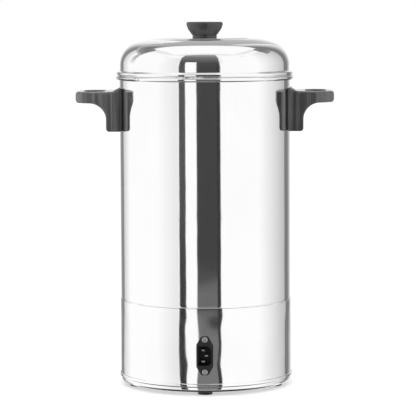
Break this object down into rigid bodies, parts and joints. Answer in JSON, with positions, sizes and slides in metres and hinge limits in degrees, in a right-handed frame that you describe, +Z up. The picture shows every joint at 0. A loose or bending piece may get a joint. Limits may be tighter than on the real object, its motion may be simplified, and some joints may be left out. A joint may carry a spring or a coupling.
{
  "type": "coffee urn",
  "caption": "Polished steel percolating coffee urn with a lift-off lid, loop handles at both sides, a front tap with a sight gauge and a mains inlet at the back.",
  "frame": {"origin": "on the body's axis, at the underside of the flat disc in the middle of the base pan", "axes": "+Z up; the tap faces -Y, the mains inlet +Y, the handles +X and -X"},
  "size_m": [0.3256, 0.2834, 0.4591],
  "materials": {
    "mirror_steel": "mirror polished stainless sheet",
    "satin_steel": "satin stainless",
    "zinc_steel": "bright zinc plated",
    "chrome_fittings": "chrome plated brass",
    "tinned_brass": "bright",
    "handle_black": "moulded black phenolic, soft sheen",
    "inlet_black": "moulded black",
    "switch_black": "gloss black",
    "rocker_black": "gloss black",
    "lamp_red": "clear red lens",
    "lamp_amber": "clear amber lens",
    "rubber_black": "black rubber",
    "silicone": "translucent white silicone",
    "aluminium_cast": "plain",
    "gauge_clear": "clear tube",
    "ceramic_body": "unglazed",
    "wire_skin": "glass-sleeve insulation",
    "bell_metal": "spun aluminium"
  },
  "bodies": {
    "urn": {"base_pan": "mirror_steel", "feet": "rubber_black", "foot_screws": "zinc_steel", "foot_nuts": "zinc_steel", "base_skirt": "mirror_steel", "tank_wall": "mirror_steel", "tank_floor": "satin_steel", "spreader_plate": "aluminium_cast", "heating_element": "satin_steel", "element_clamp": "zinc_steel", "clamp_nuts": "zinc_steel", "thermostat": "ceramic_body", "thermal_cutout": "ceramic_body", "floor_posts": "satin_steel", "tie_screws": "zinc_steel", "inlet_housing": "inlet_black", "inlet_pins": "tinned_brass", "inlet_screws": "zinc_steel", "inlet_nuts": "zinc_steel", "switch_housing": "switch_black", "lamp_holders": "chrome_fittings", "power_lamp": "lamp_red", "ready_lamp": "lamp_amber", "terminal_block": "ceramic_body", "wiring": "wire_skin", "right_grip": "handle_black", "left_grip": "handle_black", "right_saddle": "handle_black", "left_saddle": "handle_black", "handle_screws": "zinc_steel", "handle_seals": "silicone", "handle_inserts": "tinned_brass", "tap_body": "chrome_fittings", "tap_washer_outer": "silicone", "tap_washer_inner": "silicone", "tap_nut": "chrome_fittings", "tap_bonnet": "chrome_fittings", "tap_spring": "zinc_steel", "gauge_glass": "gauge_clear", "gauge_seal": "silicone", "gauge_shield": "chrome_fittings", "gauge_top_cap": "chrome_fittings", "gauge_cap_screw": "zinc_steel"},
    "lid": {"lid_shell": "mirror_steel", "lid_knob": "handle_black", "knob_collar": "handle_black", "knob_screw": "zinc_steel", "knob_washer": "zinc_steel"},
    "pump": {"pump_tube": "satin_steel", "pump_foot": "bell_metal", "pump_stop": "satin_steel", "tube_collar": "bell_metal"},
    "valve": {"pump_valve": "satin_steel"},
    "basket_cup": {"basket": "satin_steel"},
    "cover": {"basket_cover": "satin_steel"},
    "stem": {"tap_stem": "chrome_fittings", "tap_seat": "silicone"},
    "lever": {"tap_lever": "handle_black", "tap_lever_pin": "zinc_steel"},
    "rocker": {"switch_rocker": "rocker_black"}
  },
  "joints": [
    {"name": "lid_lift", "type": "slide", "parent": "urn", "child": "lid", "axis": [0, 0, 1], "range_m": [0, 0.6]},
    {"name": "cover_lift", "type": "slide", "parent": "urn", "child": "cover", "axis": [0, 0, 1], "range_m": [0, 0.52]},
    {"name": "basket_lift", "type": "slide", "parent": "urn", "child": "basket_cup", "axis": [0, 0, 1], "range_m": [0, 0.45]},
    {"name": "pump_lift", "type": "slide", "parent": "urn", "child": "pump", "axis": [0, 0, 1], "range_m": [0, 0.305]},
    {"name": "valve_hop", "type": "slide", "parent": "pump", "child": "valve", "axis": [0, 0, 1], "range_m": [0, 0.003]},
    {"name": "stem_lift", "type": "slide", "parent": "urn", "child": "stem", "axis": [0, 0, 1], "range_m": [0, 0.0029], "deforming": ["tap_spring"]},
    {"name": "lever_pull", "type": "hinge", "parent": "stem", "child": "lever", "pos_m": [0, -0.1528, 0.15328], "axis": [1, 0, 0], "range_deg": [0, 60], "stiffness_Nm_per_rad": 0.15, "springref_deg": -11.46},
    {"name": "switch_rock", "type": "hinge", "parent": "urn", "child": "rocker", "pos_m": [0, -0.1075, 0.0483], "axis": [-1, 0, 0], "range_deg": [0, 20]}
  ],
  "couplings": [
    {"joint": "cover_lift", "follows": "lid_lift", "ratio": 0.86667},
    {"joint": "basket_lift", "follows": "lid_lift", "ratio": 0.75},
    {"joint": "pump_lift", "follows": "lid_lift", "ratio": 0.50833},
    {"joint": "stem_lift", "follows": "lever_pull", "m_per_rad": 0.0027671}
  ]
}
